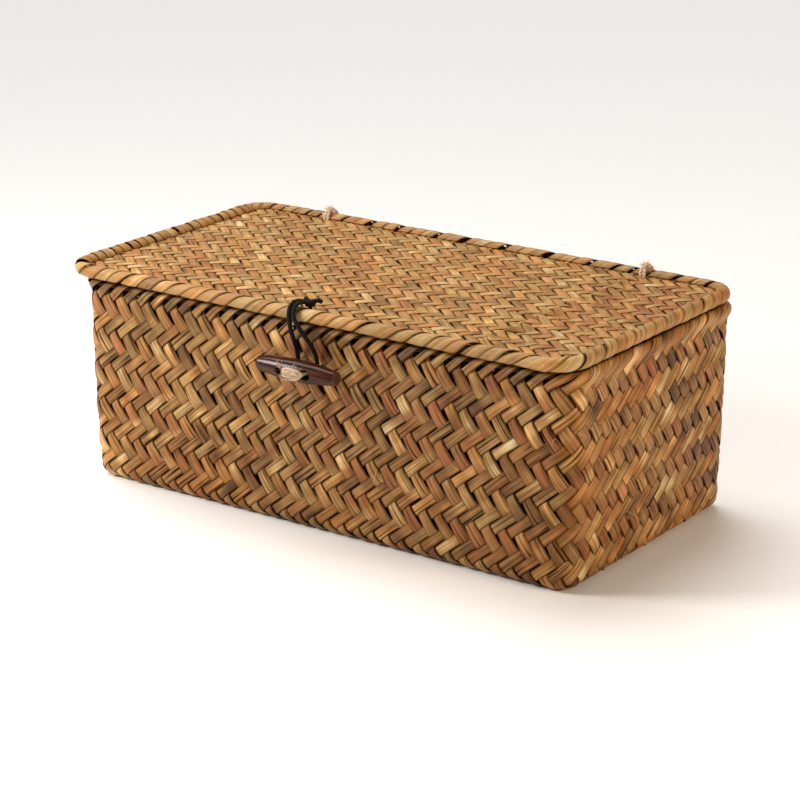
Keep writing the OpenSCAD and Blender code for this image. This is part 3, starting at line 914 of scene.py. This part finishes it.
# The twine comes out of one hole, lies across the front as a loose pad and goes back in at the other.
# Behind, both ends meet and pass through the wall as the neck.
def makeToggleTwine():
    rng = np.random.default_rng(51)
    side = np.array([-1.0, -0.86, -0.68, -0.42, 0.0, 0.42, 0.68, 0.86, 1.0]) * 5.6
    front = -np.array([0.0, 3.2, 4.9, 5.35, 5.45, 5.35, 4.9, 3.2, 0.0])
    belly = np.sin(np.linspace(0, pi, len(side)))
    paths = []
    for strand in range(twine["padStrands"]):
        rise = (strand - (twine["padStrands"] - 1) / 2) * 0.55
        loose = [rng.normal(0, spread, len(side)) for spread in (0.15, 0.2, 0.28)]
        route = np.stack([side + loose[0], front - 0.40 * belly * (1 - (rise / 2.4)**2) + loose[1],
                          rise * (0.2 + 0.95 * belly**2) + loose[2]], -1)
        paths.append(smoothPath(route + toggleMiddle, 6))
    pieces = makeTwine("toggleTwinePad", paths, *twine["pad"], (0, 0.2, 1), 6)
    wallInside = shellLow[1] + 2.4 - toggleMiddle[1]
    for sign in (-1, 1):
        route = [(sign * 6.3, 0, 0), (sign * 6.2, 3.6, 0), (sign * 5.2, 5.4, 0), (sign * 3.0, 5.9, 0.1),
                 (sign * 1.1, 6.3, 0.1), (sign * 0.55, 7.6, 0), (sign * 0.5, 9.5, 0),
                 (sign * 0.5, wallInside + 1.4, 0)]
        back = smoothPath(np.array(route) + toggleMiddle, 6)
        name = "toggleNeckLeft" if sign < 0 else "toggleNeckRight"
        pieces += makeTwine(name, [back], *twine["neck"], (0, 0, 1))
    knot = knotPath(toggleMiddle + np.array([0, wallInside + 2.6, 0]), 0.62, (1, 0, 0), (0, 0, 1))
    pieces += makeTwine("toggleInsideKnot", [knot], *twine["knot"], (0.2, 1, 0.1))
    fuzz = twine["fuzzFibres"]
    spots = np.stack([rng.uniform(-4.2, 4.2, fuzz), -5.6 + rng.normal(0, 0.25, fuzz),
                      rng.normal(0, 1.2, fuzz)], -1)
    pieces += makeFibres("toggleTwineFuzz", spots + toggleMiddle, (0, -0.30, 0), 0.9, (0.9, 2.8), 0.06,
                         naturalTwine, 52, 0.1)
    tails = twine["tuftFibres"]
    tuft = np.stack([rng.normal(-6.6, 0.5, tails), np.full(tails, -3.9), rng.normal(1.4, 0.4, tails)], -1)
    pieces += makeFibres("toggleTuft", tuft + toggleMiddle, (-0.25, -0.55, 0.9), 0.35, (1.6, 4.0), 0.06,
                         naturalTwine, 53, 0.3)
    rideAll(pieces, "toggle", "toggle_twine")


# Overhand knot as a trefoil: its three lobes lie in the plane of the two directions given
def knotPath(centre, size, first, second):
    t = np.linspace(0, 2 * pi, 61)
    flat = np.stack([np.sin(t) + 2 * np.sin(2 * t), np.cos(t) - 2 * np.cos(2 * t)], -1)
    depth = -np.sin(3 * t) * 1.15
    first, second = np.asarray(first, float), np.asarray(second, float)
    offset = flat[:, :1] * first + flat[:, 1:] * second + depth[:, None] * np.cross(first, second)
    return centre + size * offset


makeToggleTwine()

tie = {"turns": 2, "ring": (0.75, 2, 3.4), "knot": (0.7, 2, 3.2), "spread": 1.5, "snug": 1.75,
       "tuftFibres": 170}


# Each tie is two turns of twine round the rim and the lid's edge: half circles above and below, joined
# by straight runs, and closed with a knot on top whose ends fray into a tuft
def makeTie(node, name, seed):
    low, high = (np.array(corner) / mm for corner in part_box(node))
    x = (low[0] + high[0]) / 2
    ringRadius = (high[1] - low[1]) / 2 - tie["snug"]
    y = (low[1] + high[1]) / 2
    rimZ, lidZ = wall["rimZ"], lidCentre[2]
    rng = np.random.default_rng(seed)
    paths = []
    for turn in range(tie["turns"]):
        angle = np.linspace(-pi / 2, 3 * pi / 2, 60)
        z = np.where(np.sin(angle) > 0, lidZ, rimZ) + ringRadius * np.sin(angle)
        shift = (turn - 0.5) * tie["spread"] + 0.2 * np.sin(angle * 2 + turn)
        paths.append(np.stack([x + shift, y + ringRadius * np.cos(angle), z], -1))
    pieces = makeTwine(name + "Rings", paths, *tie["ring"], (1, 0, 0))
    top = np.array([x, y - 0.8, lidZ + ringRadius + 0.2])
    knot = knotPath(top, 0.50, (1, 0, 0), (0, 1, 0.2))
    pieces += makeTwine(name + "Knot", [knot], *tie["knot"], (0.1, 0.2, 1))
    roots = top + rng.normal(0, 0.5, (tie["tuftFibres"], 3)) * (2.2, 1.2, 0.5)
    pieces += makeFibres(name + "Tuft", roots, (0.35, -0.3, 0.25), 0.7, (1.5, 4.5), 0.07, naturalTwine,
                         seed + 1, 0.25)
    rideAll(pieces, "lid", node)


makeTie("hinge_tie_left", "hingeTieLeft", 61)
makeTie("hinge_tie_right", "hingeTieRight", 63)
print("twine laid")


# The loop's knot sits on the lid, its stem goes down through the panel to a stop knot
def makeLoopKnot():
    low, high = (np.array(corner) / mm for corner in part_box("loop_knot"))
    middle = (low + high) / 2
    top = np.array([middle[0], middle[1], high[2] - 2.2])
    under = np.array([middle[0], middle[1], low[2] + 0.9])
    radius = loop["diameter"] / 2
    leftTail = [(0, 0, 0), (-1.6, 0.9, 0.6), (-3.0, 1.4, 1.1), (-4.2, 2.6, 0.6)]
    rightTail = [(0, 0, 0), (1.2, 1.2, 0.7), (2.4, 2.3, 0.9), (3.2, 3.8, 0.2)]
    runs = {
        "loopKnot": knotPath(top, 0.56, (1, 0, 0), (0, 1, 0)),
        "loopStem": np.linspace(top, under, 9),
        "loopStopKnot": knotPath(under, 0.42, (1, 0, 0), (0, 1, 0)) * (1, 1, 0.5) + (0, 0, under[2] * 0.5),
        "loopTailLeft": smoothPath(top + np.array(leftTail), 5),
        "loopTailRight": smoothPath(top + np.array(rightTail), 5),
    }
    pieces = []
    for name, path in runs.items():
        thin = radius * (0.92 if "Knot" in name else 1.0)
        hint = (0.2, 0.1, 1) if "Stem" not in name else (1, 0, 0)
        points = tubePoints(path, thin, loop["knotSides"], hint)
        uv = tubeUv(path, thin, loop["knotSides"])
        pieces += makePieces(name, points[None], braidedElastic, uv[None])
    rideAll(pieces, "lid", "loop_knot")


makeLoopKnot()
print("loop knotted")


splinters = {"onWalls": 46, "onLid": 26, "lengths": (2.5, 6.5)}


# A few splinters of grass stand off the weave: a pale sliver leaves the surface and curls along it
def makeSplinters():
    rng = np.random.default_rng(71)
    count = splinters["onWalls"]
    x = rng.uniform(0, wallPlan["length"], count)
    w = rng.uniform(8, 78, count)
    roots = wallPoint(x, w, np.full(count, 0.9))
    outward = wallPoint(x, w, np.full(count, 3.0)) - roots
    marks = {"tone": np.full(1, 0.95), "rust": np.zeros(1), "over": np.ones(1)}
    pieces = makeFibres("wallSplinters", roots, unit(outward) * 0.35, 0.6, splinters["lengths"], 0.17,
                        plaitedGrass, 72, 0.2, marks)
    rideAll(pieces, "basket")
    count = splinters["onLid"]
    x = np.where(rng.random(count) < 0.6, rng.uniform(70, 122, count), rng.uniform(-120, 70, count))
    w = rng.uniform(6, 2 * lid["halfDepth"] - 6, count)
    roots = lidPoint(x, w, np.full(count, 0.7))
    pieces = makeFibres("lidSplinters", roots, (0, 0, 0.22), 0.6, splinters["lengths"], 0.16, lidGrass,
                        73, 0.15, marks)
    rideAll(pieces, "lid")


makeSplinters()


# cane hoops inside the rim and the lid's edge

# the cane is coloured near black as painted shade, so that where it shows between the tabs and wraps it
# reads as shadow
caneShade = {"light": (0.07, 0.032, 0.011), "dark": (0.022, 0.009, 0.003)}


def makeCane():
    material, tree, shader = newMaterial("hoopCane")
    place = addNode(tree, "ShaderNodeTexCoord").outputs["Object"]
    streaks = stretchedNoise(tree, place, (400, 400, 1500), 3.0, 0.6)
    colour = colourRamp(tree, streaks, [(0.35, caneShade["dark"]), (0.65, caneShade["light"])])
    tree.links.new(colour, shader.inputs["Base Color"])
    shader.inputs["Roughness"].default_value = 0.7
    shader.inputs["Specular IOR Level"].default_value = 0.05
    return material


hoopCane = makeCane()
for node in ("rim_core", "lid_core"):
    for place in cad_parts[node].material_slots:
        place.material = hoopCane
print("hoops finished")
